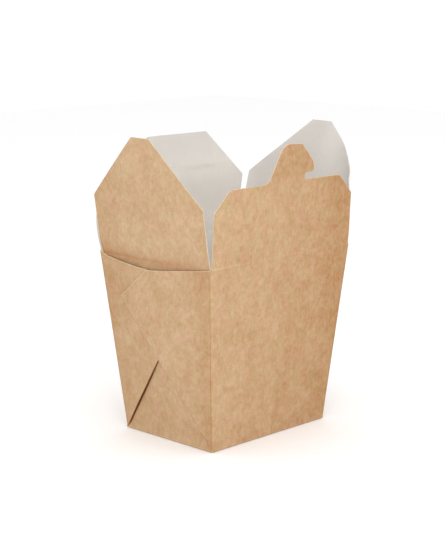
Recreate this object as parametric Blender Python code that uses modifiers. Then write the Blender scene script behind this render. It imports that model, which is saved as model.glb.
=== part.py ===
"""Open takeaway box for noodles, folded from one sheet of kraft paperboard.

A tapered rectangular body stands on its bottom panel. Its gusset webs are
folded flat on the outside of the two narrow walls. Four flaps hinge on the
creases round the mouth: two narrow side flaps that fold in first, the back
flap with its slit, and the front flap with its hook tongue.

Metres, +Z up. X runs along the wide walls, Y across them, and the front wall
faces -Y. The origin is the centre of the bottom panel's underside.
"""
import bpy
import bmesh
import math
from mathutils import Matrix, Vector

# ---------------------------------------------------------------- dimensions
BOARD = 0.00045          # thickness of the paperboard
HEIGHT = 0.100           # bottom panel to the front and back creases
BASE_X, BASE_Y = 0.0884, 0.0667      # outside, at the bottom
TOP_X, TOP_Y = 0.1080, 0.0851        # outside, at the creases
SIDE_DROP = 0.0006       # the side creases lie one board lower than the others
CREASE_HALF = 0.0003     # a crease's soft strip, above and below its axis
CORNER_R = 0.0006        # folded outer edges

# side flaps: half widths at the crease, the shoulder and the end
SIDE_BASE, SIDE_SHOULDER, SIDE_END = 0.0418, 0.0397, 0.0065
LEFT_SHOULDER_H, LEFT_LENGTH = 0.0313, 0.0646
RIGHT_SHOULDER_H, RIGHT_LENGTH = 0.0326, 0.0674
# front and back flaps
WIDE_HALF = 0.0532
BACK_SHOULDER_H, BACK_LENGTH, BACK_END = 0.0313, 0.0588, 0.0220
FRONT_SHOULDER_H, FRONT_BODY_H, FRONT_CORNER = 0.0289, 0.0398, 0.0422
# hook tongue on the front flap
HOOK_TOP_H = 0.0597
HOOK_LEFT, HOOK_TOP_LEFT, HOOK_TOP_RIGHT = -0.0138, -0.0040, 0.0108
BARB_RIGHT, BARB_SHOULDER_H, BARB_H = 0.0212, 0.0496, 0.0432
NECK_RIGHT = 0.0139
# slit in the back flap that takes the hook
SLIT_FROM, SLIT_TO, SLIT_H, SLIT_GAP = -0.0120, 0.0390, 0.0403, 0.0005

# tilt of each flap from upright, positive outwards
FRONT_TILT, BACK_TILT, LEFT_TILT, RIGHT_TILT = 3.4, -4.0, 7.2, 20.0

# gusset webs, measured on a narrow wall: across from its centre, up its slope
WEB_FOOT = (0.0325, 0.0012)          # where the folded edge meets the corner
WEB_TIP = (-0.0265, 0.0770)          # free tip past the centre line
WEB_NOTCH = (-0.0040, 0.0945)        # top of the slanting free edge
WEB_TOP = (0.0412, 0.0984)           # at the corner, just under the crease
WEB_ROOT = 0.0002                    # how far the web is let into the wall
WEB_LIFT_NEAR = 0.0004               # stands off the wall at the corner
WEB_LIFT_TIP = 0.0024                # stands off the wall at its tip
WEB_LIFT_UNDER = 0.0010              # the same, of the web that lies beneath

MM = 0.001


# ------------------------------------------------------------------- helpers
def clear_scene():
    for obj in list(bpy.data.objects):
        bpy.data.objects.remove(obj, do_unlink=True)


def make_collection(name):
    coll = bpy.data.collections.new(name)
    bpy.context.scene.collection.children.link(coll)
    return coll


def paperboard(name, color, roughness=0.82):
    mat = bpy.data.materials.new(name)
    mat.use_nodes = True
    bsdf = mat.node_tree.nodes["Principled BSDF"]
    bsdf.inputs["Base Color"].default_value = (*color, 1.0)
    bsdf.inputs["Roughness"].default_value = roughness
    bsdf.inputs["Metallic"].default_value = 0.0
    mat.diffuse_color = (*color, 1.0)
    return mat


def rounded(corners, steps=4):
    """Outline through (x, y, radius) corners, each corner filleted."""
    pts = []
    n = len(corners)
    for i, (x, y, r) in enumerate(corners):
        p = Vector((x, y))
        if r <= 0:
            pts.append(p)
            continue
        a = (Vector(corners[i - 1][:2]) - p).normalized()
        b = (Vector(corners[(i + 1) % n][:2]) - p).normalized()
        half = a.angle(b) / 2
        reach = r / math.tan(half)
        centre = p + (a + b).normalized() * (r / math.sin(half))
        start, end = p + a * reach, p + b * reach
        s, e = start - centre, end - centre
        turn = s.angle_signed(e)
        for k in range(steps + 1):
            t = turn * k / steps
            # angle_signed counts clockwise as positive
            pts.append(centre + Matrix.Rotation(-t, 2) @ s)
    return pts


def flat_sheet(name, outline, thickness, holes=()):
    """A 2D curve filled on both sides and extruded to the board's thickness."""
    curve = bpy.data.curves.new(name, "CURVE")
    curve.dimensions = "2D"
    curve.fill_mode = "BOTH"
    curve.extrude = thickness / 2
    for loop in (outline, *holes):
        spline = curve.splines.new("POLY")
        spline.points.add(len(loop) - 1)
        for point, co in zip(spline.points, loop):
            point.co = (co.x, co.y, 0.0, 1.0)
        spline.use_cyclic_u = True
    return bpy.data.objects.new(name, curve)


def as_mesh(obj, coll):
    """The curve's solid as a welded mesh object in its place."""
    coll.objects.link(obj)
    bpy.context.view_layer.update()
    graph = bpy.context.evaluated_depsgraph_get()
    mesh = bpy.data.meshes.new_from_object(obj.evaluated_get(graph))
    bm = bmesh.new()
    bm.from_mesh(mesh)
    bmesh.ops.remove_doubles(bm, verts=bm.verts, dist=1e-6)
    bmesh.ops.recalc_face_normals(bm, faces=bm.faces)
    bm.to_mesh(mesh)
    bm.free()
    name = obj.name
    matrix = obj.matrix_world.copy()
    bpy.data.objects.remove(obj, do_unlink=True)
    new = bpy.data.objects.new(name, mesh)
    new.matrix_world = matrix
    coll.objects.link(new)
    return new


def hide_cutter(obj):
    obj.hide_render = True
    obj.display_type = "WIRE"


def boolean(obj, other, operation):
    mod = obj.modifiers.new(operation.lower() + "_" + other.name, "BOOLEAN")
    mod.operation = operation
    mod.solver = "EXACT"
    mod.object = other
    return mod


# ---------------------------------------------------------------------- body
def body_shell(coll):
    """Bottom and four tapered walls, as an open surface given thickness."""
    top_z = HEIGHT - CREASE_HALF
    share = top_z / HEIGHT
    top = ((BASE_X + (TOP_X - BASE_X) * share) / 2,
           (BASE_Y + (TOP_Y - BASE_Y) * share) / 2)
    bm = bmesh.new()
    bmesh.ops.create_cube(bm, size=1.0)
    for v in bm.verts:
        sx = 1 if v.co.x > 0 else -1
        sy = 1 if v.co.y > 0 else -1
        if v.co.z > 0:
            v.co = (sx * top[0], sy * top[1], top_z)
        else:
            v.co = (sx * BASE_X / 2, sy * BASE_Y / 2, 0.0)
    lid = [f for f in bm.faces if f.normal.z > 0.9]
    bmesh.ops.delete(bm, geom=lid, context="FACES_ONLY")
    folds = [e for e in bm.edges if len(e.link_faces) == 2]
    bmesh.ops.bevel(bm, geom=folds, offset=CORNER_R, segments=2,
                    profile=0.5, affect="EDGES")
    bmesh.ops.recalc_face_normals(bm, faces=bm.faces)
    mesh = bpy.data.meshes.new("box_body")
    bm.to_mesh(mesh)
    bm.free()
    body = bpy.data.objects.new("box_body", mesh)
    coll.objects.link(body)
    solid = body.modifiers.new("board", "SOLIDIFY")
    solid.thickness = BOARD
    solid.offset = -1.0
    solid.use_even_offset = True
    return body


def rim_cutter(name, side, coll):
    """Trims a narrow wall down to its lower crease."""
    bm = bmesh.new()
    bmesh.ops.create_cube(bm, size=1.0)
    width = TOP_Y - 2 * BOARD - 0.0002
    low = HEIGHT - SIDE_DROP - CREASE_HALF
    for v in bm.verts:
        v.co.x = side * (TOP_X / 2 - 0.004) + v.co.x * 0.016
        v.co.y *= width
        v.co.z = low + (0.004 if v.co.z > 0 else 0.0)
    mesh = bpy.data.meshes.new(name)
    bm.to_mesh(mesh)
    bm.free()
    cutter = bpy.data.objects.new(name, mesh)
    coll.objects.link(cutter)
    hide_cutter(cutter)
    return cutter


def gusset_web(name, side, end, lift_tip, coll):
    """A web folded flat against a narrow wall.

    side is the wall, -1 or +1 along X, and end is the corner that the web
    hangs from, -1 for the front one. The web thickens away from its corner,
    as its folded layers spring off the wall."""
    corners = [(*WEB_FOOT, 0.0), (*WEB_TOP, 0.0), (*WEB_NOTCH, 0.001),
               (*WEB_TIP, 0.002)]
    outline = rounded(corners, steps=3)
    web = as_mesh(flat_sheet(name, outline, 0.002), coll)
    # distance from the corner edge decides how far the outer face stands off
    foot, top = Vector(WEB_FOOT), Vector(WEB_TOP)
    edge = (top - foot).normalized()
    across = Vector((-edge.y, edge.x))
    reach = (Vector(WEB_TIP) - foot).dot(across)
    for v in web.data.vertices:
        away = (Vector(v.co.xy) - foot).dot(across) / reach
        if v.co.z > 0:
            v.co.z = WEB_LIFT_NEAR + (lift_tip - WEB_LIFT_NEAR) * away
        else:
            v.co.z = -WEB_ROOT
    # wall frame: across the wall towards this corner, up its slope, outwards
    lean = math.atan2((TOP_X - BASE_X) / 2, HEIGHT)
    up = Vector((side * math.sin(lean), 0, math.cos(lean)))
    out = Vector((side * math.cos(lean), 0, -math.sin(lean)))
    toward = Vector((0, end, 0))
    foot_of_wall = Vector((side * BASE_X / 2, 0, 0))
    frame = Matrix((toward, up, out)).transposed().to_4x4()
    frame.translation = foot_of_wall
    web.data.transform(frame)
    bm = bmesh.new()
    bm.from_mesh(web.data)
    bmesh.ops.recalc_face_normals(bm, faces=bm.faces)
    bm.to_mesh(web.data)
    bm.free()
    hide_cutter(web)
    return web


# --------------------------------------------------------------------- flaps
def place_flap(obj, edge, azimuth, height, tilt):
    """Puts a flap's crease line (its local X axis) on the mouth's edge.

    edge is the crease's distance from the middle of the box, azimuth turns
    the front flap's place to another side, and tilt leans it outwards."""
    spot = Matrix.Rotation(azimuth, 4, "Z") @ Vector((0, -edge, 0))
    obj.location = (spot.x, spot.y, height)
    obj.rotation_euler = (math.radians(90 + tilt), 0, azimuth)


def side_outline(shoulder_h, length):
    right = [(SIDE_BASE, CREASE_HALF, 0.0),
             (SIDE_SHOULDER, shoulder_h, 0.0015),
             (SIDE_END, length, 0.0010)]
    left = [(-x, y, r) for x, y, r in reversed(right)]
    return rounded(right + left, steps=3)


def back_outline():
    right = [(WIDE_HALF, CREASE_HALF, 0.0),
             (WIDE_HALF, BACK_SHOULDER_H, 0.0020),
             (BACK_END, BACK_LENGTH, 0.0012)]
    left = [(-x, y, r) for x, y, r in reversed(right)]
    return rounded(right + left, steps=3)


def slit_outline():
    """The back flap faces away, so its local X runs towards -X."""
    lo, hi = -SLIT_TO, -SLIT_FROM
    half = SLIT_GAP / 2
    pts = []
    for centre, start in ((hi, -90), (lo, 90)):
        for k in range(5):
            a = math.radians(start + 45 * k)
            pts.append(Vector((centre + half * math.cos(a),
                               SLIT_H + half * math.sin(a))))
    return pts


def front_outline():
    return rounded([
        (WIDE_HALF, CREASE_HALF, 0.0),
        (WIDE_HALF, FRONT_SHOULDER_H, 0.0010),
        (FRONT_CORNER, FRONT_BODY_H, 0.0010),
        (NECK_RIGHT, FRONT_BODY_H + 0.0002, 0.0004),
        (NECK_RIGHT - 0.0002, BARB_H, 0.0004),
        (BARB_RIGHT, BARB_H + 0.0006, 0.0018),
        (BARB_RIGHT - 0.0012, BARB_SHOULDER_H, 0.0040),
        (HOOK_TOP_RIGHT, HOOK_TOP_H - 0.0005, 0.0016),
        (HOOK_TOP_LEFT, HOOK_TOP_H, 0.0090),
        (HOOK_LEFT, FRONT_BODY_H, 0.0070),
        (-FRONT_CORNER, FRONT_BODY_H, 0.0060),
        (-WIDE_HALF, FRONT_SHOULDER_H, 0.0010),
        (-WIDE_HALF, CREASE_HALF, 0.0),
    ], steps=4)


# --------------------------------------------------------------------- build
def main():
    clear_scene()
    parts = make_collection("noodle_box")
    cutters = make_collection("cutters")

    kraft = paperboard("kraft_body", (0.604, 0.387, 0.224))
    kraft_flap = paperboard("kraft_flap", (0.640, 0.418, 0.246))
    kraft_front = paperboard("kraft_front_flap", (0.625, 0.400, 0.235))
    coated = paperboard("white_flap", (0.800, 0.770, 0.730), 0.60)
    coated_side = paperboard("white_side_flap", (0.810, 0.780, 0.745), 0.60)

    body = body_shell(parts)
    body.data.materials.append(kraft)
    for side, word in ((-1, "left"), (1, "right")):
        boolean(body, rim_cutter("rim_cut_" + word, side, cutters),
                "DIFFERENCE")
    for side, word in ((-1, "left"), (1, "right")):
        under = gusset_web("web_back_" + word, side, 1, WEB_LIFT_UNDER,
                           cutters)
        over = gusset_web("web_front_" + word, side, -1, WEB_LIFT_TIP,
                          cutters)
        boolean(body, under, "UNION")
        boolean(body, over, "UNION")

    half = BOARD / 2
    front_edge, side_edge = TOP_Y / 2 - half, TOP_X / 2 - half
    side_z = HEIGHT - SIDE_DROP
    flaps = (
        ("flap_front", front_outline(), (), kraft_front,
         front_edge, 0.0, HEIGHT, FRONT_TILT),
        ("flap_back", back_outline(), (slit_outline(),), coated,
         front_edge, math.pi, HEIGHT, BACK_TILT),
        ("flap_left", side_outline(LEFT_SHOULDER_H, LEFT_LENGTH), (),
         kraft_flap,
         side_edge, -math.pi / 2, side_z, LEFT_TILT),
        ("flap_right", side_outline(RIGHT_SHOULDER_H, RIGHT_LENGTH), (),
         coated_side,
         side_edge, math.pi / 2, side_z, RIGHT_TILT),
    )
    for name, outline, holes, mat, edge, azimuth, z, tilt in flaps:
        flap = as_mesh(flat_sheet(name, outline, BOARD, holes), parts)
        flap.data.materials.clear()
        flap.data.materials.append(mat)
        place_flap(flap, edge, azimuth, z, tilt)
    bpy.context.view_layer.update()


main()
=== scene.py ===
import math
import bpy
import bmesh
from mathutils import Matrix, Vector


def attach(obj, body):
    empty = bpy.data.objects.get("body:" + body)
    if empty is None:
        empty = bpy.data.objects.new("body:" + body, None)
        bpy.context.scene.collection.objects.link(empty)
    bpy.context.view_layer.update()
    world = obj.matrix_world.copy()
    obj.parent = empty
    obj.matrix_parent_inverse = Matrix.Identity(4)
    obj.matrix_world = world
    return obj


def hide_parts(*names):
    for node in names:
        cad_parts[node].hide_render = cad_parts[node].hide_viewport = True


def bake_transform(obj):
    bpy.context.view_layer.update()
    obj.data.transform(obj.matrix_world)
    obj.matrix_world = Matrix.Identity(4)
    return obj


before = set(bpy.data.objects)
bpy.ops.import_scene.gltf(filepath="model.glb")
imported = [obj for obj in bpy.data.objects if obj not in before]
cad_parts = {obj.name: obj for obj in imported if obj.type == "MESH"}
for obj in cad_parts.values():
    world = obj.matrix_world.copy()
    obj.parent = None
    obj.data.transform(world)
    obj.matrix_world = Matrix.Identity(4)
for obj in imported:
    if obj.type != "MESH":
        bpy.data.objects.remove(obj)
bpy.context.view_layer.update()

# ------------------------------------------------------------------ dimensions
# Everything is in millimetres here and turned to metres when a vertex is made.
MM = 0.001
T = 0.45                      # paperboard
H = 100.0
BX, BY = 44.2, 33.35          # half size outside, at the bottom
TX, TY = 54.0, 42.55          # half size outside, at the front and back creases
FS = math.hypot(H, TY - BY)   # slant height of the front and back walls
LS = math.hypot(H, TX - BX)   # slant height of the narrow walls
F_LEAN = math.atan2(TY - BY, H)
L_LEAN = math.atan2(TX - BX, H)
FOLD_R = 0.8                  # outer radius of a folded corner
RECESS = 0.98                 # narrow walls lie behind two layers of web
TOP_RECESS = 0.47             # and behind one layer at the crease
STRIP = 0.6                   # soft strip of a crease, either side of its axis
HINGE_Y = 42.325
HINGE_X = 53.775
SIDE_Z = 99.4

FRONT_TILT, BACK_TILT, LEFT_TILT = 3.4, -4.0, 7.2

# finish levels, for the light used here
KRAFT_LEVEL, WHITE_LEVEL, EDGE_LEVEL = 0.757, 1.12, 0.84


def smooth(a, b, x):
    t = min(1.0, max(0.0, (x - a) / (b - a)))
    return t * t * (3 - 2 * t)


def bell(x, mid, half):
    t = abs(x - mid) / half
    return 0.0 if t >= 1 else (1 - t * t) ** 2


def lerp_table(x, table):
    """Smooth reading of a short table of (x, value) stations."""
    if x <= table[0][0]:
        return table[0][1]
    for i in range(len(table) - 1):
        x0, y0 = table[i]
        x1, y1 = table[i + 1]
        if x <= x1:
            m0 = ((y1 - table[i - 1][1]) / (x1 - table[i - 1][0])) if i else (y1 - y0) / (x1 - x0)
            m1 = ((table[i + 2][1] - y0) / (table[i + 2][0] - x0)) if i + 2 < len(table) else (y1 - y0) / (x1 - x0)
            d = x1 - x0
            t = (x - x0) / d
            return ((2 * t ** 3 - 3 * t ** 2 + 1) * y0 + (t ** 3 - 2 * t ** 2 + t) * d * m0
                    + (-2 * t ** 3 + 3 * t ** 2) * y1 + (t ** 3 - t ** 2) * d * m1)
    return table[-1][1]


# ------------------------------------------------------------------- mesh code
def rounded(corners, steps=6):
    """Outline through (x, y, radius) corners, each corner filleted."""
    pts = []
    n = len(corners)
    for i, (x, y, r) in enumerate(corners):
        p = Vector((x, y))
        if r <= 0:
            pts.append(p)
            continue
        a = (Vector(corners[i - 1][:2]) - p).normalized()
        b = (Vector(corners[(i + 1) % n][:2]) - p).normalized()
        half = a.angle(b) / 2
        reach = r / math.tan(half)
        centre = p + (a + b).normalized() * (r / math.sin(half))
        start, end = p + a * reach, p + b * reach
        s, e = start - centre, end - centre
        turn = s.angle_signed(e)
        for k in range(steps + 1):
            t = turn * k / steps
            pts.append(centre + Matrix.Rotation(-t, 2) @ s)
    return pts


PAINT = {"wear_and_highlight": 0.0, "shade_paint": 0.0, "tone_and_shade": 0.0, "painted_shading": 0.0, "coated_shadow": 0.0,
         "rim": 99.0, "line": 99.0, "gap_shadow": -99.0}


class Board:
    """A sheet of board under construction: patches that share edges.

    Each vertex carries what its finish needs: as shares for the kraft side,
    rubbed wear mixed with painted highlight, painted shade, and a tone drift
    that also holds painted shading; as shares for the coated side, painted
    light and shade and painted shadow; and as distances in mm, from a cut
    edge (painted highlight along it), from a pressed line or slit (painted
    shade along it) and into a gap (painted shadow inside it)."""

    def __init__(self):
        self.bm = bmesh.new()
        self.uv = self.bm.loops.layers.uv.new("board")
        self.layer = {k: self.bm.verts.layers.float.new(k) for k in PAINT}

    def vert(self, co, paint):
        v = self.bm.verts.new(Vector(co) * MM)
        for k, base in PAINT.items():
            v[self.layer[k]] = paint.get(k, base)
        return v

    def _flip(self, place, at, out):
        u, v = at
        e = 0.05
        p = Vector(place(u, v))
        du, dv = Vector(place(u + e, v)) - p, Vector(place(u, v + e)) - p
        return du.cross(dv).dot(Vector(out)) < 0

    def face(self, verts, uvs, flip):
        if flip:
            verts, uvs = verts[::-1], uvs[::-1]
        if len(set(verts)) < 3:
            return
        face = self.bm.faces.new(verts)
        face.smooth = True
        for loop, (a, b) in zip(face.loops, uvs):
            loop[self.uv].uv = (a * MM, b * MM)

    def cut(self, outline, lines, place, uvof, at, out, paint=None, slit=None):
        """A flat outline sliced by straight lines, then bent to its place."""
        tmp = bmesh.new()
        tmp.faces.new([tmp.verts.new((p[0], p[1], 0)) for p in outline])
        for (x, y), (nx, ny) in lines:
            geom = tmp.verts[:] + tmp.edges[:] + tmp.faces[:]
            bmesh.ops.bisect_plane(tmp, geom=geom, dist=1e-4,
                                   plane_co=(x, y, 0), plane_no=(nx, ny, 0))
        bmesh.ops.remove_doubles(tmp, verts=tmp.verts, dist=0.012)
        if slit:
            x0, x1, row = slit
            edges = [e for e in tmp.edges
                     if all(abs(v.co.y - row) < 1e-3 and x0 - 1e-3 < v.co.x < x1 + 1e-3
                            for v in e.verts)]
            bmesh.ops.split_edges(tmp, edges=edges)
        many = [f for f in tmp.faces if len(f.verts) > 4]
        bmesh.ops.triangulate(tmp, faces=many)
        tmp.normal_update()
        flip = self._flip(place, at, out)
        made = {}
        for f in tmp.faces:
            if f.calc_area() < 1e-6:
                continue
            if f.normal.z < 0:
                f.normal_flip()
            low = f.calc_center_median().y
            verts, uvs = [], []
            for v in f.verts:
                if v not in made:
                    u, w = v.co.x, v.co.y
                    co = place(u, w, -1 if low < slit[2] else 1) if slit else place(u, w)
                    made[v] = self.vert(co, paint(u, w) if paint else {})
                verts.append(made[v])
                uvs.append(uvof(v.co.x, v.co.y))
            self.face(verts, uvs, flip)
        tmp.free()

    def stitch(self, tol=0.012):
        """Splits an open edge wherever another patch's corner lies on it."""
        bmesh.ops.remove_doubles(self.bm, verts=self.bm.verts, dist=0.004 * MM)
        for _ in range(4):
            open_edges = [e for e in self.bm.edges if len(e.link_faces) == 1]
            open_verts = list({v for e in open_edges for v in e.verts})
            todo = []
            for e in open_edges:
                p, q = e.verts[0].co, e.verts[1].co
                d = q - p
                n2 = d.length_squared
                if n2 < 1e-12:
                    continue
                best = None
                lo = [min(p[i], q[i]) - tol * MM for i in range(3)]
                hi = [max(p[i], q[i]) + tol * MM for i in range(3)]
                for v in open_verts:
                    c = v.co
                    if not (lo[0] <= c.x <= hi[0] and lo[1] <= c.y <= hi[1] and lo[2] <= c.z <= hi[2]):
                        continue
                    if v in e.verts:
                        continue
                    t = (c - p).dot(d) / n2
                    if 0.002 < t < 0.998 and (p + d * t - c).length < tol * MM:
                        best = (t, c.copy())
                        break
                if best:
                    todo.append((e, best))
            if not todo:
                break
            for e, (t, c) in todo:
                _, nv = bmesh.utils.edge_split(e, e.verts[0], t)
                nv.co = c
            bmesh.ops.remove_doubles(self.bm, verts=self.bm.verts, dist=0.004 * MM)

    def object(self, name, materials, offset=-1.0):
        self.stitch()
        loose = [v for v in self.bm.verts if not v.link_faces]
        bmesh.ops.delete(self.bm, geom=loose, context="VERTS")
        big = [f for f in self.bm.faces if len(f.verts) > 4]
        bmesh.ops.triangulate(self.bm, faces=big)
        mesh = bpy.data.meshes.new(name)
        self.bm.to_mesh(mesh)
        self.bm.free()
        for m in materials:
            mesh.materials.append(m)
        obj = bpy.data.objects.new(name, mesh)
        bpy.context.scene.collection.objects.link(obj)
        mod = obj.modifiers.new("board", "SOLIDIFY")
        mod.thickness = T * MM
        mod.offset = offset
        mod.use_even_offset = True
        mod.material_offset = 1
        mod.material_offset_rim = 2
        bpy.context.view_layer.update()
        graph = bpy.context.evaluated_depsgraph_get()
        final = bpy.data.meshes.new_from_object(obj.evaluated_get(graph))
        obj.modifiers.clear()
        old = obj.data
        obj.data = final
        bpy.data.meshes.remove(old)
        final.name = name
        final.set_sharp_from_angle(angle=math.radians(38))
        return obj


def span(a, b, n):
    return [a + (b - a) * k / n for k in range(n + 1)]


def hlines(values):
    return [((0, v), (0, 1)) for v in values]


def vlines(values):
    return [((v, 0), (1, 0)) for v in values]


# ------------------------------------------------------------------- materials
def node(tree, kind, x=0, y=0, **values):
    n = tree.nodes.new(kind)
    n.location = (x, y)
    for key, value in values.items():
        setattr(n, key, value)
    return n


def noise(tree, vector, scale, detail=4.0, rough=0.55, distortion=0.0):
    n = node(tree, "ShaderNodeTexNoise")
    n.noise_dimensions = "2D"
    n.inputs["Scale"].default_value = scale
    n.inputs["Detail"].default_value = detail
    n.inputs["Roughness"].default_value = rough
    n.inputs["Distortion"].default_value = distortion
    tree.links.new(vector, n.inputs["Vector"])
    return n.outputs["Fac"]


def mapped(tree, vector, scale, angle=0.0, shift=(0, 0, 0)):
    m = node(tree, "ShaderNodeMapping")
    m.inputs["Scale"].default_value = scale
    m.inputs["Rotation"].default_value = (0, 0, math.radians(angle))
    m.inputs["Location"].default_value = shift
    tree.links.new(vector, m.inputs["Vector"])
    return m.outputs["Vector"]


def math_node(tree, op, a, b=None, clamp=False):
    m = node(tree, "ShaderNodeMath", operation=op, use_clamp=clamp)
    for i, value in enumerate((a, b)):
        if value is None:
            continue
        if isinstance(value, (int, float)):
            m.inputs[i].default_value = value
        else:
            tree.links.new(value, m.inputs[i])
    return m.outputs[0]


def remap(tree, value, lo, hi, to_lo, to_hi):
    m = node(tree, "ShaderNodeMapRange")
    m.inputs["From Min"].default_value = lo
    m.inputs["From Max"].default_value = hi
    m.inputs["To Min"].default_value = to_lo
    m.inputs["To Max"].default_value = to_hi
    tree.links.new(value, m.inputs["Value"])
    return m.outputs["Result"]


def mix_color(tree, fac, a, b, blend="MIX"):
    m = node(tree, "ShaderNodeMix", data_type="RGBA", blend_type=blend)
    m.clamp_factor = True
    for key, value in ((0, fac), (6, a), (7, b)):
        if isinstance(value, (int, float)):
            m.inputs[key].default_value = value
        elif isinstance(value, tuple):
            m.inputs[key].default_value = (*value, 1.0)
        else:
            tree.links.new(value, m.inputs[key])
    return m.outputs[2]


def attribute(tree, name):
    a = node(tree, "ShaderNodeAttribute", attribute_name=name)
    a.attribute_type = "GEOMETRY"
    return a.outputs["Fac"]


def linear(*rgb):
    out = []
    for c in rgb:
        c = c / 255
        out.append(c / 12.92 if c <= 0.04045 else ((c + 0.055) / 1.055) ** 2.4)
    return tuple(out)


def start_material(name, roughness, specular):
    mat = bpy.data.materials.new(name)
    mat.use_nodes = True
    tree = mat.node_tree
    bsdf = tree.nodes["Principled BSDF"]
    bsdf.inputs["Roughness"].default_value = roughness
    bsdf.inputs["Specular IOR Level"].default_value = specular
    uv = node(tree, "ShaderNodeUVMap", uv_map="board")
    return mat, tree, bsdf, uv.outputs["UV"]


def line_mask(tree, name, near, far):
    """1 within near mm of what the attribute measures from, 0 beyond far."""
    m = node(tree, "ShaderNodeMapRange", interpolation_type="SMOOTHSTEP")
    m.inputs["From Min"].default_value = near
    m.inputs["From Max"].default_value = far
    m.inputs["To Min"].default_value = 1.0
    m.inputs["To Max"].default_value = 0.0
    tree.links.new(attribute(tree, name), m.inputs["Value"])
    return m.outputs["Result"]


def centred(tree, value, share):
    return math_node(tree, "MULTIPLY", remap(tree, value, 0.3, 0.7, -0.5, 0.5), share)


def add_all(tree, values, start):
    total = start
    for v in values:
        total = math_node(tree, "ADD", total, v)
    return total


def kraft_board(name, level=1.0):
    """Unbleached board: soft cloudy blotches, fine upright fibres, hue that
    drifts between straw and rose, a tone drift that also holds painted
    shading, painted highlight along cut rims and folds mixed with rubbed
    wear, painted shade along pressed lines and in creases, painted shadow
    in gaps."""
    mat, tree, bsdf, uv = start_material(name, 0.78, 0.25)
    upright = mapped(tree, uv, (1.0, 0.80, 1.0))
    cloud = noise(tree, upright, 175, 2.5, 0.55, 0.4)
    small = noise(tree, upright, 430, 3.0, 0.6, 0.2)
    wide = noise(tree, uv, 42, 2.0, 0.5)
    grain = noise(tree, mapped(tree, uv, (1250, 330, 1), 3), 1.0, 3.0, 0.6, 0.7)
    cross = noise(tree, mapped(tree, uv, (420, 1500, 1), -11), 1.0, 3.0, 0.6, 0.7)
    fine = noise(tree, uv, 2600, 2.0, 0.6)
    hue = noise(tree, mapped(tree, uv, (1, 0.8, 1), 0, (0.31, 0.17, 0)), 130, 2.5, 0.55)
    fac = add_all(tree, [centred(tree, cloud, 0.20), centred(tree, small, 0.22),
                         centred(tree, wide, 0.12), centred(tree, grain, 0.17),
                         centred(tree, cross, 0.12), centred(tree, fine, 0.14)],
                  math_node(tree, "ADD", attribute(tree, "tone_and_shade"), 0.5))
    fac = remap(tree, fac, -0.25, 1.25, 0.0, 1.0)
    # ends of the tone mix; with painted shading in the tone, the darker, more saturated end also stands for shade
    dark = tuple(c * level for c in (0.378, 0.150, 0.022))
    light = tuple(c * level for c in (0.792, 0.608, 0.398))
    color = mix_color(tree, fac, dark, light)
    # hue drift, rose to straw
    tint = mix_color(tree, remap(tree, hue, 0.34, 0.66, 0.0, 1.0), (1.022, 0.975, 0.995), (0.990, 1.010, 0.965))
    color = mix_color(tree, 1.0, color, tint, "MULTIPLY")
    # sparse pale fibres
    fibre = remap(tree, noise(tree, mapped(tree, uv, (2100, 260, 1), 12), 1.0, 2.0, 0.5, 1.5), 0.66, 0.74, 0.0, 0.20)
    color = mix_color(tree, fibre, color, tuple(c * level for c in linear(232, 208, 176)))
    # lighter along folds and creases and within half a mm of cut edges: painted highlight mixed with rubbed wear
    rub = remap(tree, small, 0.36, 0.62, 0.55, 1.0)
    highlight_and_wear = math_node(tree, "MAXIMUM", attribute(tree, "wear_and_highlight"),
                     math_node(tree, "MULTIPLY", line_mask(tree, "rim", 0.18, 0.50), 0.62))
    color = mix_color(tree, math_node(tree, "MULTIPLY", highlight_and_wear, rub, clamp=True), color,
                      tuple(c * level for c in linear(237, 205, 168)))
    # darker in creases, recesses and at flap bases, and along fold lines and the slit: painted shade
    shade_amount = math_node(tree, "MAXIMUM", attribute(tree, "shade_paint"),
                      math_node(tree, "MULTIPLY", line_mask(tree, "line", 0.10, 0.55), 0.42))
    color = mix_color(tree, math_node(tree, "MINIMUM", shade_amount, 1.0), color,
                      tuple(c * level for c in linear(170, 104, 46)))
    # near-black brown inside the gaps under the webs' folds: painted shadow
    color = mix_color(tree, line_mask_inverse(tree, "gap_shadow", -0.70, 0.02), color, (0.175, 0.056, 0.010))
    tree.links.new(color, bsdf.inputs["Base Color"])
    tree.links.new(remap(tree, small, 0.3, 0.7, 0.70, 0.86), bsdf.inputs["Roughness"])
    bump = node(tree, "ShaderNodeBump")
    bump.inputs["Strength"].default_value = 0.45
    bump.inputs["Distance"].default_value = 0.00015
    height = add_all(tree, [math_node(tree, "MULTIPLY", grain, 0.5), math_node(tree, "MULTIPLY", fine, 0.3)], cloud)
    tree.links.new(height, bump.inputs["Height"])
    tree.links.new(bump.outputs["Normal"], bsdf.inputs["Normal"])
    return mat


def line_mask_inverse(tree, name, far, near):
    m = node(tree, "ShaderNodeMapRange", interpolation_type="SMOOTHSTEP")
    m.inputs["From Min"].default_value = far
    m.inputs["From Max"].default_value = near
    m.inputs["To Min"].default_value = 0.0
    m.inputs["To Max"].default_value = 1.0
    tree.links.new(attribute(tree, name), m.inputs["Value"])
    return m.outputs["Result"]


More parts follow.
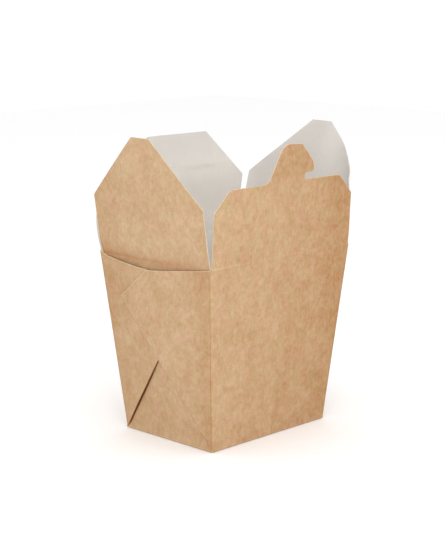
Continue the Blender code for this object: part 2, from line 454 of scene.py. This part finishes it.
def coated_board(name, mean=(206, 202.5, 199), level=1.0):
    """Clay-coated inside: nearly even grey white, faint cloud and pores."""
    mat, tree, bsdf, uv = start_material(name, 0.55, 0.35)
    mean = tuple(c * level for c in linear(*mean))
    cloud = noise(tree, uv, 75, 3.0, 0.5)
    fine = noise(tree, uv, 900, 3.0, 0.6)
    fibre = noise(tree, mapped(tree, uv, (900, 240, 1), 3), 1.0, 3.0, 0.6, 0.5)
    fac = add_all(tree, [centred(tree, fine, 0.35), centred(tree, fibre, 0.35)], centred(tree, cloud, 0.5))
    fac = math_node(tree, "ADD", fac, 0.5, clamp=True)
    color = mix_color(tree, fac, tuple(m * 0.965 for m in mean), tuple(min(1, m * 1.035) for m in mean))
    # coated side set lighter where the lamps reach it less and darker where they reach it more: painted light and
    # shade
    tone_and_shade = remap(tree, attribute(tree, "painted_shading"), -1.0, 1.0, 0.0, 1.0)
    color = mix_color(tree, 1.0, color, mix_color(tree, tone_and_shade, (0.80, 0.775, 0.75), (1.27, 1.26, 1.225)), "MULTIPLY")
    # coated side darker at a flap's foot and along creases and the slit: painted shade
    shade_amount = math_node(tree, "MAXIMUM", math_node(tree, "MULTIPLY", attribute(tree, "coated_shadow"), 0.6),
                      math_node(tree, "MULTIPLY", line_mask(tree, "line", 0.08, 0.50), 0.22))
    color = mix_color(tree, math_node(tree, "MINIMUM", shade_amount, 1.0), color, tuple(m * k for m, k in zip(mean, (0.52, 0.46, 0.40))))
    tree.links.new(color, bsdf.inputs["Base Color"])
    tree.links.new(remap(tree, fine, 0.3, 0.7, 0.48, 0.62), bsdf.inputs["Roughness"])
    bump = node(tree, "ShaderNodeBump")
    bump.inputs["Strength"].default_value = 0.25
    bump.inputs["Distance"].default_value = 0.0001
    tree.links.new(fibre, bump.inputs["Height"])
    tree.links.new(bump.outputs["Normal"], bsdf.inputs["Normal"])
    return mat


def cut_edge(name, mean, level=1.0):
    """Die-cut edge: pale fibre core with a hairy, uneven tone."""
    mat, tree, bsdf, uv = start_material(name, 0.9, 0.2)
    mean = tuple(c * level for c in linear(*mean))
    fine = noise(tree, uv, 900, 4.0, 0.65)
    slow = noise(tree, uv, 140, 2.0, 0.5)
    fac = math_node(tree, "ADD", math_node(tree, "MULTIPLY", fine, 0.6),
                    math_node(tree, "MULTIPLY", slow, 0.4), clamp=True)
    fac = remap(tree, fac, 0.35, 0.65, 0.0, 1.0)
    color = mix_color(tree, fac, tuple(m * 0.86 for m in mean), tuple(min(1, m * 1.12) for m in mean))
    # the cut edge turns near-black brown inside a gap: painted shadow
    color = mix_color(tree, line_mask_inverse(tree, "gap_shadow", -0.55, 0.15), color, (0.150, 0.055, 0.018))
    tree.links.new(color, bsdf.inputs["Base Color"])
    tree.links.new(remap(tree, fine, 0.3, 0.7, 0.82, 0.95), bsdf.inputs["Roughness"])
    bump = node(tree, "ShaderNodeBump")
    bump.inputs["Strength"].default_value = 0.5
    bump.inputs["Distance"].default_value = 0.0001
    tree.links.new(fine, bump.inputs["Height"])
    tree.links.new(bump.outputs["Normal"], bsdf.inputs["Normal"])
    return mat


KRAFT = kraft_board("kraft_outside", KRAFT_LEVEL)
WHITE = coated_board("coated_inside", level=WHITE_LEVEL)
EDGE = cut_edge("cut_edge", (219, 199, 174), EDGE_LEVEL)
PALE_EDGE = cut_edge("cut_edge_pale", (208, 198, 187), EDGE_LEVEL)
SKINS = [KRAFT, WHITE, EDGE]
PALE_SKINS = [KRAFT, WHITE, PALE_EDGE]


# ------------------------------------------------------------------------ body
FOOT_R = 0.45                 # rounding where a wall turns under


def hw(t):
    return BX + (TX - BX) * t


def hd(t):
    return BY + (TY - BY) * t


def foot(s):
    """How a wall turns under at its foot: how far it draws in, and height."""
    if s >= FOOT_R:
        return 0.0, s
    ang = (1 - s / FOOT_R) * math.pi / 2
    return FOOT_R * (1 - math.cos(ang)), FOOT_R * (1 - math.sin(ang))


def front_bow(x, t, end):
    """How far the wide walls bulge between the foot and the crease."""
    swell = 0.55 * math.sin(math.pi * t) ** 2 + 0.10 * math.sin(2 * math.pi * t) ** 2
    return swell * (1 - (x / hw(t)) ** 2)


def wall_bow(u, s):
    """The narrow wall bulges against the web that lies over its front half."""
    t = min(1.0, s / (SIDE_Z / H * LS - STRIP))
    f = u / hd(t)
    return 1.03 * math.sin(math.pi * t) * (1 - f * f) * smooth(-22, 4, u)


def web_point(end, side, u, s, n):
    """A point on a narrow wall: u towards this end's corner, s up, n outwards."""
    inset, up = foot(s)
    t = up / LS
    x = hw(t) - inset + n * math.cos(L_LEAN)
    z = H * t - n * math.sin(L_LEAN) * min(1.0, s / 6.0)
    return Vector((side * x, end * u, max(z, 0.0)))


# one web's outline on the narrow wall: (u towards its corner, s up the wall)
OVER = dict(tip=(-25.5, 77.6, 2.2), notch=(-4.2, 95.0, 1.4),
            top=[(-0.5, 95.1), (8.7, 95.9), (20.1, 97.4), (31.3, 98.8)],
            inner=[(-0.5, 94.7), (8.7, 95.0), (20.1, 93.8), (31.3, 93.2)],
            foot=(33.35, 0.0), over=True)
UNDER = dict(tip=(-20.6, 77.0, 2.2), notch=(-2.0, 94.6, 1.4),
             top=[(-0.7, 94.6), (12.7, 95.4), (26.2, 96.8), (36.0, 98.2)],
             inner=[(-0.7, 94.2), (12.7, 93.6), (26.2, 92.9), (36.0, 92.4)],
             foot=(33.35, 0.0), over=False)
FOLD = 0.47                   # half of a folded web's thickness


def lift_over(d, s):
    return 2.72 * (max(0.0, d) / 66.0) ** 0.85 * (0.25 + 0.75 * smooth(10, 50, s))


def lift_under(d, s):
    return 0.72 * math.sin(math.pi * min(1.0, max(0.0, d) / 64.0)) * (1 + 0.85 * smooth(46, 64, s))


def polyline_distance(p, pts):
    best = 99.0
    for a, b in zip(pts, pts[1:]):
        d = b - a
        t = min(1.0, max(0.0, (p - a).dot(d) / d.length_squared))
        best = min(best, (p - a - d * t).length)
    return best


def wall_tone_and_shade(u, s):
    """Slow drift of the board's tone over a narrow wall, front edge darker;
    most of it is painted shading of the bulging wall: lighter in the middle,
    darker towards its edges and the foot.
    """
    return (0.09 - 0.10 * ((u - 8) / 34) ** 2 - 0.15 * smooth(22, 37, u)
            - 0.02 * (1 - smooth(2, 34, s)))


def wide_tone_and_shade(x, s):
    """Over a wide wall and its flap: straw on the left, browner to the right,
    darker towards the foot; partly the board's tone and partly painted
    shading of a light that falls off to the right.
    """
    return -0.085 - 0.115 * x / 54 - 0.13 * smooth(18, 50, x) - 0.03 * (1 - smooth(0, 40, s))


def add_web(board, side, end, shape, lift):
    """Outer layer from the corner fold to the diagonal, round it, and back."""
    heel, tip = Vector(shape["foot"]), Vector(shape["tip"][:2])
    along = (tip - heel).normalized()
    away = Vector((-along.y, along.x))
    corner_top = Vector((hd(1.0), LS))
    if (corner_top - heel).dot(away) < 0:
        away = -away
    edge_dir = (corner_top - heel).normalized()
    inward = Vector((-edge_dir.y, edge_dir.x))
    if (tip - heel).dot(inward) < 0:
        inward = -inward
    r = FOLD
    over = shape["over"]

    def mirror(p):
        q = (p - heel).dot(away)
        return p - away * (2 * q)

    tail = rounded([(*shape["top"][0], 0), shape["notch"], (*tip, 0)], 4)[1:-1]
    outer = [corner_top] + [Vector(p) for p in reversed(shape["top"])] + tail + [tip]
    inner_side = [tip] + tail[::-1] + [Vector(p) for p in shape["inner"]] + [Vector((hd(0.92) - 0.6, 92.4))]
    outline = [heel, *outer, *[mirror(p) for p in inner_side[1:]]]
    rim_line = [corner_top] + [Vector(p) for p in reversed(shape["top"])] + tail + [tip]

    def place(u, s):
        p = Vector((u, s))
        q = (p - heel).dot(away)
        a = (p - heel).dot(along)
        if q >= r:
            dist, drop = q, 0.0
        elif q <= -r:
            dist, drop = -q, -2 * r
        else:
            th = (r - q) / (2 * r) * math.pi
            dist, drop = r - r * math.sin(th), -r + r * math.cos(th)
        base = heel + along * a + away * dist
        d = (base - heel).dot(inward)
        t = base.y / LS
        n = lift(d, base.y) + drop
        if not over:
            n += 0.34 * bell(dist, 0.0, 8.0) * smooth(3, 18, a)
        R = FOLD_R
        c = hd(t) - base.x          # distance from the sharp corner, along Y
        if drop == 0.0 and c < R:
            # the quarter turn is shared by web and wall, 45 degrees each
            ang = max(0.0, (R - c) / R) * math.pi / 4
            inset, up = foot(base.y)
            tt = up / LS
            x = hw(tt) - R + R * math.cos(ang) - inset
            y = hd(tt) - R + R * math.sin(ang) - inset
            return (side * x, end * y, H * tt)
        if drop < 0 and c < R:
            base = Vector((hd(t) - R + (R - c) * 0.3, base.y))
        return tuple(web_point(end, side, base.x, base.y, n))

    def uvof(u, s):
        t = s / LS
        return (side * (hw(t) + hd(t) - u) + (0 if end < 0 else 400), s)

    def paint(u, s):
        p = Vector((u, s))
        q = (p - heel).dot(away)
        a = (p - heel).dot(along)
        d = (p - heel).dot(inward)
        real = p if q >= 0 else mirror(p)
        tone_and_shade = wall_tone_and_shade(-end * real.x, real.y)
        out = dict(tone_and_shade=tone_and_shade, gap_shadow=-99.0)
        if q >= -0.2:
            # a darker line just in from the corner fold: painted shade of the corner
            out["line"] = abs(d - 0.62) + 0.25 * (1 - smooth(20, 75, LS - s)) if d > 0.3 else 0.3
            out["rim"] = polyline_distance(p, rim_line)
            # lighter along the back web's fold: painted highlight mixed with wear
            out["wear_and_highlight"] = (0.0 if over else 0.30 * bell(q, 0, 1.0) * smooth(0, 10, s))
            # darker along the front web's fold high up, damping the fold's light streak: painted shade
            out["shade_paint"] = 0.06 * bell(q, 0, 0.8) * smooth(50, 62, s) if over else 0.0
        # depth into the gap beneath a web's fold, darkened there: painted shadow
        if over:
            out["gap_shadow"] = min(1.5, -q - 0.9) if q < 0 else -5.0
        else:
            out["gap_shadow"] = min(1.5, -q - 0.15) if q < 0.6 else -5.0
        return out

    lines = hlines(WALL_LINES)
    for k in (0.25, 0.55, 0.8, 1.3, 2.4, 4.5):
        p = heel + inward * k
        lines.append(((p.x, p.y), (inward.x, inward.y)))
    for k in range(1, 11):
        p = heel + inward * (4.5 + k * 6.2)
        lines.append(((p.x, p.y), (inward.x, inward.y)))
    for q in (-1, -0.7, -0.35, 0, 0.35, 0.7, 1):
        p = heel + away * (q * r)
        lines.append(((p.x, p.y), (away.x, away.y)))
    for q in (1.2, 2.4, 5.0):
        for sgn in (-1, 1):
            p = heel + away * (q * sgn)
            lines.append(((p.x, p.y), (away.x, away.y)))
    mid = heel + away * 12 + along * 50
    board.cut(outline, lines, place, uvof, (mid.x, mid.y), (side, 0, 0), paint=paint)


WALL_LINES = [0.11, 0.22, 0.33, FOOT_R, 1.6] + [LS * k / 24 for k in range(1, 24)]


def wide_wall(board, end):
    """Front or back wall with its half of the two corner folds."""
    crease_s = FS - STRIP
    rows = sorted(WALL_LINES + [0.0, FS, crease_s])
    R = FOLD_R
    cols = [("arc", -1, k / 3) for k in (3, 2, 1)] + [("flat", 0, k / 16) for k in range(-16, 17)] \
        + [("arc", 1, k / 3) for k in (1, 2, 3)]

    def point(kind, sgn, val, s):
        inset, up = foot(s)
        t = up / FS
        if kind == "flat":
            half = hw(t) - R - (inset if abs(val) == 1 else 0)
            x = val * half
            y = hd(t) - inset + front_bow(x, t, end) * (1 - abs(val) ** 8)
            return Vector((x, end * y, H * t))
        ang = val * math.pi / 4
        x = hw(t) - R + R * math.sin(ang) - inset
        y = hd(t) - R + R * math.cos(ang) - inset
        return Vector((sgn * x, end * y, H * t))

    def uvof(kind, sgn, val, s):
        t = s / FS
        x = val * (hw(t) - R) if kind == "flat" else sgn * (hw(t) - R + R * val)
        return (x + (0 if end < 0 else 400), s)

    verts = []
    for s in rows:
        row = []
        for kind, sgn, val in cols:
            x = uvof(kind, sgn, val, s)[0] - (0 if end < 0 else 400)
            # coated side set lighter: painted light; foot lighter: wear mixed with painted highlight
            paint = dict(tone_and_shade=wide_tone_and_shade(-end * x, s), wear_and_highlight=0.22 * bell(s, 0, 1.6), painted_shading=0.85)
            # the corner arcs are darker: painted shade
            if kind == "arc":
                paint["wear_and_highlight"] = 0.0
                paint["shade_paint"] = 0.10
            row.append(board.vert(point(kind, sgn, val, s), paint))
        verts.append(row)
    for j in range(len(rows) - 1):
        for i in range(len(cols) - 1):
            if rows[j] >= crease_s - 1e-9 and cols[i][0] == "flat" and cols[i + 1][0] == "flat":
                continue          # above the crease's strip only the corner goes on
            quad = [verts[j][i], verts[j][i + 1], verts[j + 1][i + 1], verts[j + 1][i]]
            uvs = [uvof(*cols[i], rows[j]), uvof(*cols[i + 1], rows[j]),
                   uvof(*cols[i + 1], rows[j + 1]), uvof(*cols[i], rows[j + 1])]
            board.face(quad, uvs, end > 0)


def narrow_wall(board, side):
    """Left or right wall, behind its webs."""
    crease_s = SIDE_Z / H * LS - STRIP
    ss = [0.0, 0.11, 0.22, 0.33, FOOT_R, 0.9, 1.6, 2.4, 3.6, 5.0, 7.0] + span(10, 92, 20) + [95.0, 97.5, crease_s]
    fr = span(-1, 1, 26)

    heel = Vector((-UNDER["foot"][0], 0.0))
    tip = Vector((-UNDER["tip"][0], UNDER["tip"][1]))
    along = (tip - heel).normalized()
    away = Vector((-along.y, along.x))       # positive: beneath the back web
    heel2 = Vector(OVER["foot"])
    tip2 = Vector(OVER["tip"][:2])
    along2 = (tip2 - heel2).normalized()
    away2 = Vector((along2.y, -along2.x))    # positive: beneath the front web

    def place(f, s):
        inset, up = foot(s)
        t = up / LS
        # stays on the envelope at the foot, and goes back behind the webs above
        n = -RECESS * smooth(0.3, 4.0, s) + wall_bow(f * hd(t), s) * smooth(1.0, 8.0, s)
        n += (RECESS - TOP_RECESS) * smooth(91.5, 95.0, s)
        n += 0.30 * bell((Vector((f * hd(t), s)) - heel2).dot(away2), -1.5, 9.0) * smooth(6, 18, s) * (1 - smooth(40, 50, s))
        half = hd(t) - (T + 0.05) * smooth(0.4, 2.0, s) - inset
        x = hw(t) - inset + n * math.cos(L_LEAN)
        return Vector((side * x, -f * half, max(0.0, H * t - n * math.sin(L_LEAN) * min(1.0, s / 6.0))))

    def uvof(f, s):
        return (f * hd(s / LS) + side * 200, s)

    def paint(f, s):
        u = f * hd(s / LS)
        p = Vector((u, s))
        q = (p - heel).dot(away)
        q2 = (p - heel2).dot(away2)
        # a darker band on the wall just above the webs' top edges: painted shadow
        rim = smooth(94.5, 97.5, s)
        cover = 6.0 * smooth(90.0, 94.0, s)
        # the gaps under both webs are darkened: painted shadow; the line 1.55 mm above the foot is darker: painted
        # shade; the foot is lighter: wear mixed with painted highlight
        return dict(tone_and_shade=wall_tone_and_shade(u, s), wear_and_highlight=0.18 * bell(s, 0.2, 1.4),
                    line=abs(s - 1.55) + 0.25, shade_paint=0.30 * rim,
                    gap_shadow=min(1.5, max(q - 0.25, min(q2 - 2.2, 0.2))) - cover)

    flip = side < 0
    rows = [[board.vert(place(f, s), paint(f, s)) for f in fr] for s in ss]
    for j in range(len(ss) - 1):
        for i in range(len(fr) - 1):
            quad = [rows[j][i], rows[j][i + 1], rows[j + 1][i + 1], rows[j + 1][i]]
            uvs = [uvof(fr[i], ss[j]), uvof(fr[i + 1], ss[j]),
                   uvof(fr[i + 1], ss[j + 1]), uvof(fr[i], ss[j + 1])]
            board.face(quad, uvs, not flip)


def bottom(board):
    """Bottom panel; its middle is drawn up a little, so the box stands on its rim."""
    bx, by = BX - FOOT_R, BY - FOOT_R

    def place(x, y):
        edge = min(bx - abs(x), by - abs(y))
        return (x, y, 0.35 * smooth(1, 16, edge))

    outline = [Vector((-bx, -by)), Vector((bx, -by)), Vector((bx, by)), Vector((-bx, by))]
    lines = vlines(span(-bx, bx, 26)[1:-1]) + hlines(span(-by, by, 20)[1:-1])
    board.cut(outline, lines, place, lambda x, y: (x, y - 300), (1.0, 1.0), (0, 0, -1),
              paint=lambda x, y: dict(wear_and_highlight=0.15 * bell(min(bx - abs(x), by - abs(y)), 0, 1.5)))


body = Board()
for side in (-1, 1):
    add_web(body, side, -1, OVER, lift_over)
    add_web(body, side, 1, UNDER, lift_under)
    narrow_wall(body, side)
wide_wall(body, -1)
wide_wall(body, 1)
bottom(body)
box = body.object("box_board", SKINS, offset=-1.0)
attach(box, "box")
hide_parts("box_body")


# ----------------------------------------------------------------------- flaps
def flap_lines(x0, x1, top, step=3.2):
    xs = [x0 + step * k for k in range(1, int((x1 - x0) / step) + 1) if x0 + step * k < x1 - 0.4]
    ys = [-0.3, 0.0, 0.3, 0.6, 1.2, 2.2] + [4.0 + step * k for k in range(int((top - 4) / step) + 1)]
    return vlines(xs) + hlines([y for y in ys if y < top - 0.2])


def crease_points(sign_axis, dist, height, lean, tilt):
    """Start and end of the bend across a crease, for a flap on that side."""
    lo = dist - STRIP * math.sin(lean)
    hi = dist + STRIP * math.sin(tilt)
    a = [sign_axis[0] * lo * MM, sign_axis[1] * lo * MM, (height - STRIP * math.cos(lean)) * MM]
    b = [sign_axis[0] * hi * MM, sign_axis[1] * hi * MM, (height + STRIP * math.cos(tilt)) * MM]
    return a, b


def front_flap():
    pts = rounded([
        (52.9, 0.0, 0.0),
        (52.9, 29.0, 0.9),
        (42.1, 39.7, 1.0),
        (14.0, 40.0, 0.4),
        (13.8, 43.1, 0.5),
        (21.3, 43.7, 1.3),
        (20.4, 49.0, 3.4),
        (10.9, 59.1, 1.6),
        (-3.2, 60.0, 8.5),
        (-13.8, 39.8, 7.0),
        (-42.2, 39.8, 6.0),
        (-52.9, 28.8, 1.0),
        (-52.9, 0.0, 0.0),
    ], steps=8)
    outline = [Vector((-52.9, -STRIP)), Vector((52.9, -STRIP))] + pts
    rim = pts[1:-1]
    board = Board()
    tilt = math.radians(FRONT_TILT)

    def place(w, h):
        # leans with the wall below the crease, with its own tilt above it
        if h < 0:
            return (w, -(HINGE_Y + h * math.sin(F_LEAN)), H + h * math.cos(F_LEAN))
        bow = 0.5 * math.sin(math.pi * min(1, h / 44)) * (1 - (w / 60) ** 2)
        return (w, -(HINGE_Y + h * math.sin(tilt) + bow), H + h * math.cos(tilt))

    def paint(w, h):
        # along the crease: lighter on its left part, painted highlight mixed with wear, and a faint darker line,
        # painted shade
        p = Vector((w, h))
        tab = 0.13 * smooth(38, 46, h)
        return dict(tone_and_shade=wide_tone_and_shade(w, 90) + 0.02 - tab, rim=polyline_distance(p, rim) + 0.18,
                    wear_and_highlight=0.30 * bell(h, 0.1, 0.8) * (1 - smooth(-42, -16, w)) + 0.05 * bell(h, 0.1, 0.8),
                    shade_paint=0.05 * bell(h, -0.6, 0.7))

    board.cut(outline, flap_lines(-53.3, 53.3, 60), place, lambda w, h: (w, FS + h),
              (1.0, 20.0), (0, -1, 0), paint=paint)
    obj = board.object("flap_front_board", SKINS, offset=0.0)
    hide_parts("flap_front")
    a, b = crease_points((0, -1), HINGE_Y, H, F_LEAN, tilt)
    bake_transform(obj)
    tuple(a)
    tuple(b)
    return obj


def back_flap():
    board = Board()
    tilt = math.radians(BACK_TILT)
    left, right = 53.2, 53.3
    outline = [Vector((-52.9, -STRIP)), Vector((52.9, -STRIP))] + rounded([
        (52.9, 0.0, 0.0), (right, 31.5, 2.0), (21.6, 58.9, 1.2),
        (-21.6, 58.9, 1.2), (-left, 31.5, 2.0), (-52.9, 0.0, 0.0)], 6)
    row, x0, x1 = 40.3, -11.2, 39.2

    def place(w, h, side=1):
        if h < 0:
            return (w, HINGE_Y + h * math.sin(F_LEAN), H + h * math.cos(F_LEAN))
        # the board is warped: its left foot bellies out, its right half leans in
        y = HINGE_Y + h * math.sin(tilt)
        y += 4.4 * math.sin(math.pi * min(1.0, h / 34.0)) * smooth(20, 53, -w)
        y -= 1.5 * smooth(12, 34, h) * smooth(-20, 20, w)
        lip = bell(w, 20.0, 20.0)
        if side < 0:
            y -= 0.40 * lip * smooth(36.8, 40.2, h)
        z = H + h * math.cos(tilt)
        if side > 0 and abs(h - row) < 1e-3 and lip > 0:
            z -= 0.35 * min(1.0, lip * 3)
        return (w, y, z)

    def paint(w, h):
        inside = smooth(x0 - 1, x0 + 6, w) * (1 - smooth(x1 - 5, x1 + 1, w))
        fold = abs(h - 37.0) + 0.12 + 1.2 * (1 - smooth(16, 21, w)) + 1.2 * smooth(30, 36, w)
        # coated side darker at the left foot: painted shadow
        foot_shadow = 0.9 * smooth(34, 53, -w) * (1 - smooth(2, 17, h))
        # coated side lighter towards the foot and darker at the top: painted light and shade; slit and fold line
        # darker: painted shade; crease lighter: wear mixed with painted highlight
        return dict(tone_and_shade=wide_tone_and_shade(-w, 90) + 0.02,
                    painted_shading=0.22 + 0.78 * (1 - smooth(0, 40, h)) - 0.55 * smooth(40, 59, h),
                    line=min(abs(h - row) + 0.22 + 2 * (1 - inside), fold + 0.1),
                    wear_and_highlight=0.12 * bell(h, 0.1, 0.8), coated_shadow=foot_shadow)

    lines = flap_lines(-54.2, 54.2, 58.9) + hlines([row, 36.8, 37.6, 38.6, 39.5, 41.0]) + vlines([x0, x1])
    board.cut(outline, lines, place, lambda w, h: (w + 400, FS + h), (1.0, 20.0), (0, 1, 0),
              paint=paint, slit=(x0, x1, row))
    obj = board.object("flap_back_board", PALE_SKINS, offset=0.0)
    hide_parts("flap_back")
    a, b = crease_points((0, 1), HINGE_Y, H, F_LEAN, tilt)
    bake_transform(obj)
    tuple(a)
    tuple(b)
    return obj


SET_IN = TOP_RECESS + T / 2 - 0.166     # the side creases sit behind the webs


def left_flap():
    board = Board()
    outline = [Vector((-40.2, -STRIP)), Vector((41.9, -STRIP))] + rounded([
        (41.9, 0.0, 0.0), (41.4, 31.9, 1.6), (6.5, 65.3, 1.0), (-6.7, 65.4, 1.0),
        (-41.2, 31.9, 1.6), (-40.9, 5.0, 8.0), (-40.0, 0.0, 0.0)], 6)
    rim = outline[3:-1]
    tilt = math.radians(LEFT_TILT)

    def place(w, h):
        # w runs towards the front
        if h < 0:
            return (-(HINGE_X + h * math.sin(L_LEAN) - SET_IN), -w, SIDE_Z + h * math.cos(L_LEAN))
        bow = 0.7 * math.sin(math.pi * min(1, h / 66)) * (1 - (w / 46) ** 2)
        x = HINGE_X + h * math.sin(tilt) - SET_IN * (1 - smooth(0, 12, h)) + bow
        return (-x, -w, SIDE_Z + h * math.cos(tilt))

    def paint(w, h):
        p = Vector((w, h))
        # darker at the base, towards the back and at the front end: tone mixed with painted shade
        tone_and_shade = 0.13 - 0.12 * smooth(14, 42, -w) - 0.05 * smooth(30, 41, w) - 0.10 * (1 - smooth(0, 9, h))
        back_side = 0.5 * (1 - smooth(-9, -5, w))
        # darker at the base, just above the webs' top edges: painted shadow
        shade_amount = (0.40 - 0.20 * smooth(0, 26, w)) * (1 - smooth(-1, 2.8, h)) + 0.22 * (1 - smooth(0, 10, h)) * smooth(0, 38, -w)
        return dict(tone_and_shade=tone_and_shade, rim=polyline_distance(p, rim) + 0.12 + back_side,
                    shade_paint=min(0.6, shade_amount))

    board.cut(outline, flap_lines(-41.9, 41.9, 65.3), place,
              lambda w, h: (w - 200, SIDE_Z / H * LS + h), (1.0, 20.0), (-1, 0, 0), paint=paint)
    obj = board.object("flap_left_board", SKINS, offset=0.0)
    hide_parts("flap_left")
    a, b = crease_points((-1, 0), HINGE_X, SIDE_Z, L_LEAN, tilt)
    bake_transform(obj)
    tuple(a)
    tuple(b)
    return obj


# lean of the right flap by where it is along its crease, from back to front
RIGHT_LEAN = [(-41.3, 13.4), (-32.0, 16.8), (-22.0, 19.4), (-12.0, 20.9), (-3.0, 21.9),
              (5.0, 22.2), (11.0, 24.0), (17.0, 25.3), (23.0, 23.6), (29.0, 20.6),
              (35.0, 16.0), (41.3, 7.9)]


def right_flap():
    """The most open flap. It is bowed: its middle leans out more than its edges.
    Across the flap the true width is kept, so the edges draw in as it bows."""
    board = Board()
    shoulder, length = 33.8, 68.7
    outline = [Vector((-41.9, -STRIP)), Vector((41.9, -STRIP))] + rounded([
        (41.9, 0.0, 0.0), (41.3, shoulder, 1.8), (6.5, length, 1.2),
        (-6.5, length, 1.2), (-41.3, shoulder, 1.8), (-41.9, 0.0, 0.0)], 6)
    step = 0.5
    count = 84

    def lean_at(w, h):
        ramp = smooth(0, 9, h)
        return math.radians(lerp_table(w, RIGHT_LEAN) * (0.35 + 0.65 * ramp) + 7.0 * 0.65 * (1 - ramp))

    cache = {}

    def widths(h):
        """True distance along Y from the middle, station by station."""
        key = round(h, 3)
        if key not in cache:
            xs = [h * math.sin(lean_at(-42 + step * k * 2 / 2, h)) for k in range(2 * count + 1)]
            zs = [h * math.cos(lean_at(-42 + step * k, h)) for k in range(2 * count + 1)]
            ys = [0.0]
            for k in range(2 * count):
                run = 1 - ((xs[k + 1] - xs[k]) / step) ** 2 - ((zs[k + 1] - zs[k]) / step) ** 2
                ys.append(ys[-1] + step * math.sqrt(max(0.05, run)))
            mid = ys[count]
            cache[key] = [y - mid for y in ys]
        return cache[key]

    def along(w, h):
        ys = widths(h)
        k = min(2 * count - 1, max(0, int((w + 42) / step)))
        f = (w + 42) / step - k
        return ys[k] + (ys[k + 1] - ys[k]) * f

    def place(w, h):
        if h < 0:
            return (HINGE_X + h * math.sin(L_LEAN) - SET_IN, -w, SIDE_Z + h * math.cos(L_LEAN))
        lean = lean_at(w, h)
        x = HINGE_X + h * math.sin(lean) - SET_IN * (1 - smooth(0, 12, h))
        return (x, -along(w, h), SIDE_Z + h * math.cos(lean))

    def paint(w, h):
        # coated side set darker, a little less so near the base: painted shade; crease and base darker: painted
        # shade; kraft side darker at the front and the base: tone mixed with painted shading
        crease = abs(w - 17.5 - (h - 30) * 0.02) + 0.2 + 3 * (1 - smooth(34, 40, h)) + 3 * smooth(50, 56, h)
        return dict(tone_and_shade=0.10 - 0.10 * smooth(10, 42, w) - 0.06 * (1 - smooth(0, 14, h)),
                    painted_shading=-1.0 + 0.42 * (1 - smooth(14, 46, h)), line=crease,
                    coated_shadow=0.10 * (1 - smooth(-0.6, 6, h)), shade_paint=0.30 * (1 - smooth(-1, 2.8, h)))

    board.cut(outline, flap_lines(-41.9, 41.9, length), place,
              lambda w, h: (w + 200, SIDE_Z / H * LS + h), (1.0, 20.0), (1, 0, 0), paint=paint)
    obj = board.object("flap_right_board", PALE_SKINS, offset=0.0)
    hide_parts("flap_right")
    a, b = crease_points((1, 0), HINGE_X, SIDE_Z, L_LEAN, math.radians(7.2))
    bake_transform(obj)
    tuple(a)
    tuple(b)
    return obj


front_flap()
back_flap()
left_flap()
right_flap()


# ----------------------------------------------------------- stage and camera
def make_floor():
    bm = bmesh.new()
    size, ring = 1.6, 12
    for x in range(ring):
        for y in range(ring):
            xs = [-size + 2 * size * (x + k) / ring for k in (0, 1)]
            ys = [-size + 2 * size * (y + k) / ring for k in (0, 1)]
            vs = [bm.verts.new((xs[a], ys[b], -0.0002)) for a, b in ((0, 0), (1, 0), (1, 1), (0, 1))]
            bm.faces.new(vs)
    bmesh.ops.remove_doubles(bm, verts=bm.verts, dist=1e-5)
    mesh = bpy.data.meshes.new("studio_floor")
    bm.to_mesh(mesh)
    bm.free()
    floor = bpy.data.objects.new("studio_floor", mesh)
    bpy.context.scene.collection.objects.link(floor)
    mat = bpy.data.materials.new("studio_floor")
    mat.use_nodes = True
    bsdf = mat.node_tree.nodes["Principled BSDF"]
    bsdf.inputs["Base Color"].default_value = (0.97, 0.97, 0.97, 1)
    bsdf.inputs["Roughness"].default_value = 0.9
    bsdf.inputs["Specular IOR Level"].default_value = 0.1
    mesh.materials.append(mat)


def area_light(name, place, target, size, power, color=(1, 1, 1)):
    light = bpy.data.lights.new(name, "AREA")
    light.shape = "RECTANGLE"
    light.size, light.size_y = size
    light.energy = power
    light.color = color
    obj = bpy.data.objects.new(name, light)
    obj.location = place
    way = Vector(target) - Vector(place)
    obj.rotation_euler = way.to_track_quat("-Z", "Y").to_euler()
    bpy.context.scene.collection.objects.link(obj)
    return obj


def make_light():
    world = bpy.data.worlds.new("studio")
    bpy.context.scene.world = world
    world.use_nodes = True
    bg = world.node_tree.nodes["Background"]
    bg.inputs["Color"].default_value = (1.0, 1.0, 1.0, 1)
    bg.inputs["Strength"].default_value = 1.0
    area_light("front_soft", (-0.78, -0.80, 0.50), (0, 0, 0.09), (0.7, 0.7), 5.5)
    area_light("side_soft", (0.35, -0.95, 0.45), (0, 0, 0.09), (0.6, 0.6), 1.0)
    area_light("top_soft", (0.0, 0.1, 1.1), (0, 0, 0.05), (1.0, 1.0), 1.0)


def make_camera():
    azimuth, height, roll = (math.radians(v) for v in (-45.29, 11.47, -0.17))
    distance, focal = 0.82278, 1500.0
    shift_x, aim_z = -0.00171, 0.08407
    back_way = Vector((math.sin(azimuth) * math.cos(height),
                       -math.cos(azimuth) * math.cos(height), math.sin(height)))
    forward = -back_way
    right_way = forward.cross(Vector((0, 0, 1))).normalized()
    up = right_way.cross(forward)
    r2 = right_way * math.cos(roll) + up * math.sin(roll)
    u2 = -right_way * math.sin(roll) + up * math.cos(roll)
    target = Vector((shift_x * math.cos(azimuth), shift_x * math.sin(azimuth), aim_z))
    place = target + back_way * distance
    cam = bpy.data.cameras.new("photo_camera")
    cam.sensor_fit = "AUTO"
    cam.sensor_width = 36.0
    cam.lens = focal * 36.0 / 550.0
    cam.clip_start, cam.clip_end = 0.01, 20.0
    obj = bpy.data.objects.new("photo_camera", cam)
    obj.matrix_world = Matrix((
        (r2.x, u2.x, back_way.x, place.x),
        (r2.y, u2.y, back_way.y, place.y),
        (r2.z, u2.z, back_way.z, place.z),
        (0, 0, 0, 1)))
    bpy.context.scene.collection.objects.link(obj)
    bpy.context.scene.camera = obj


make_floor()
make_light()
make_camera()
bpy.context.scene.view_settings.view_transform = "Standard"
bpy.context.scene.view_settings.look = "None"
bpy.context.scene.view_settings.exposure = 0.0
bpy.context.scene.view_settings.gamma = 1.0
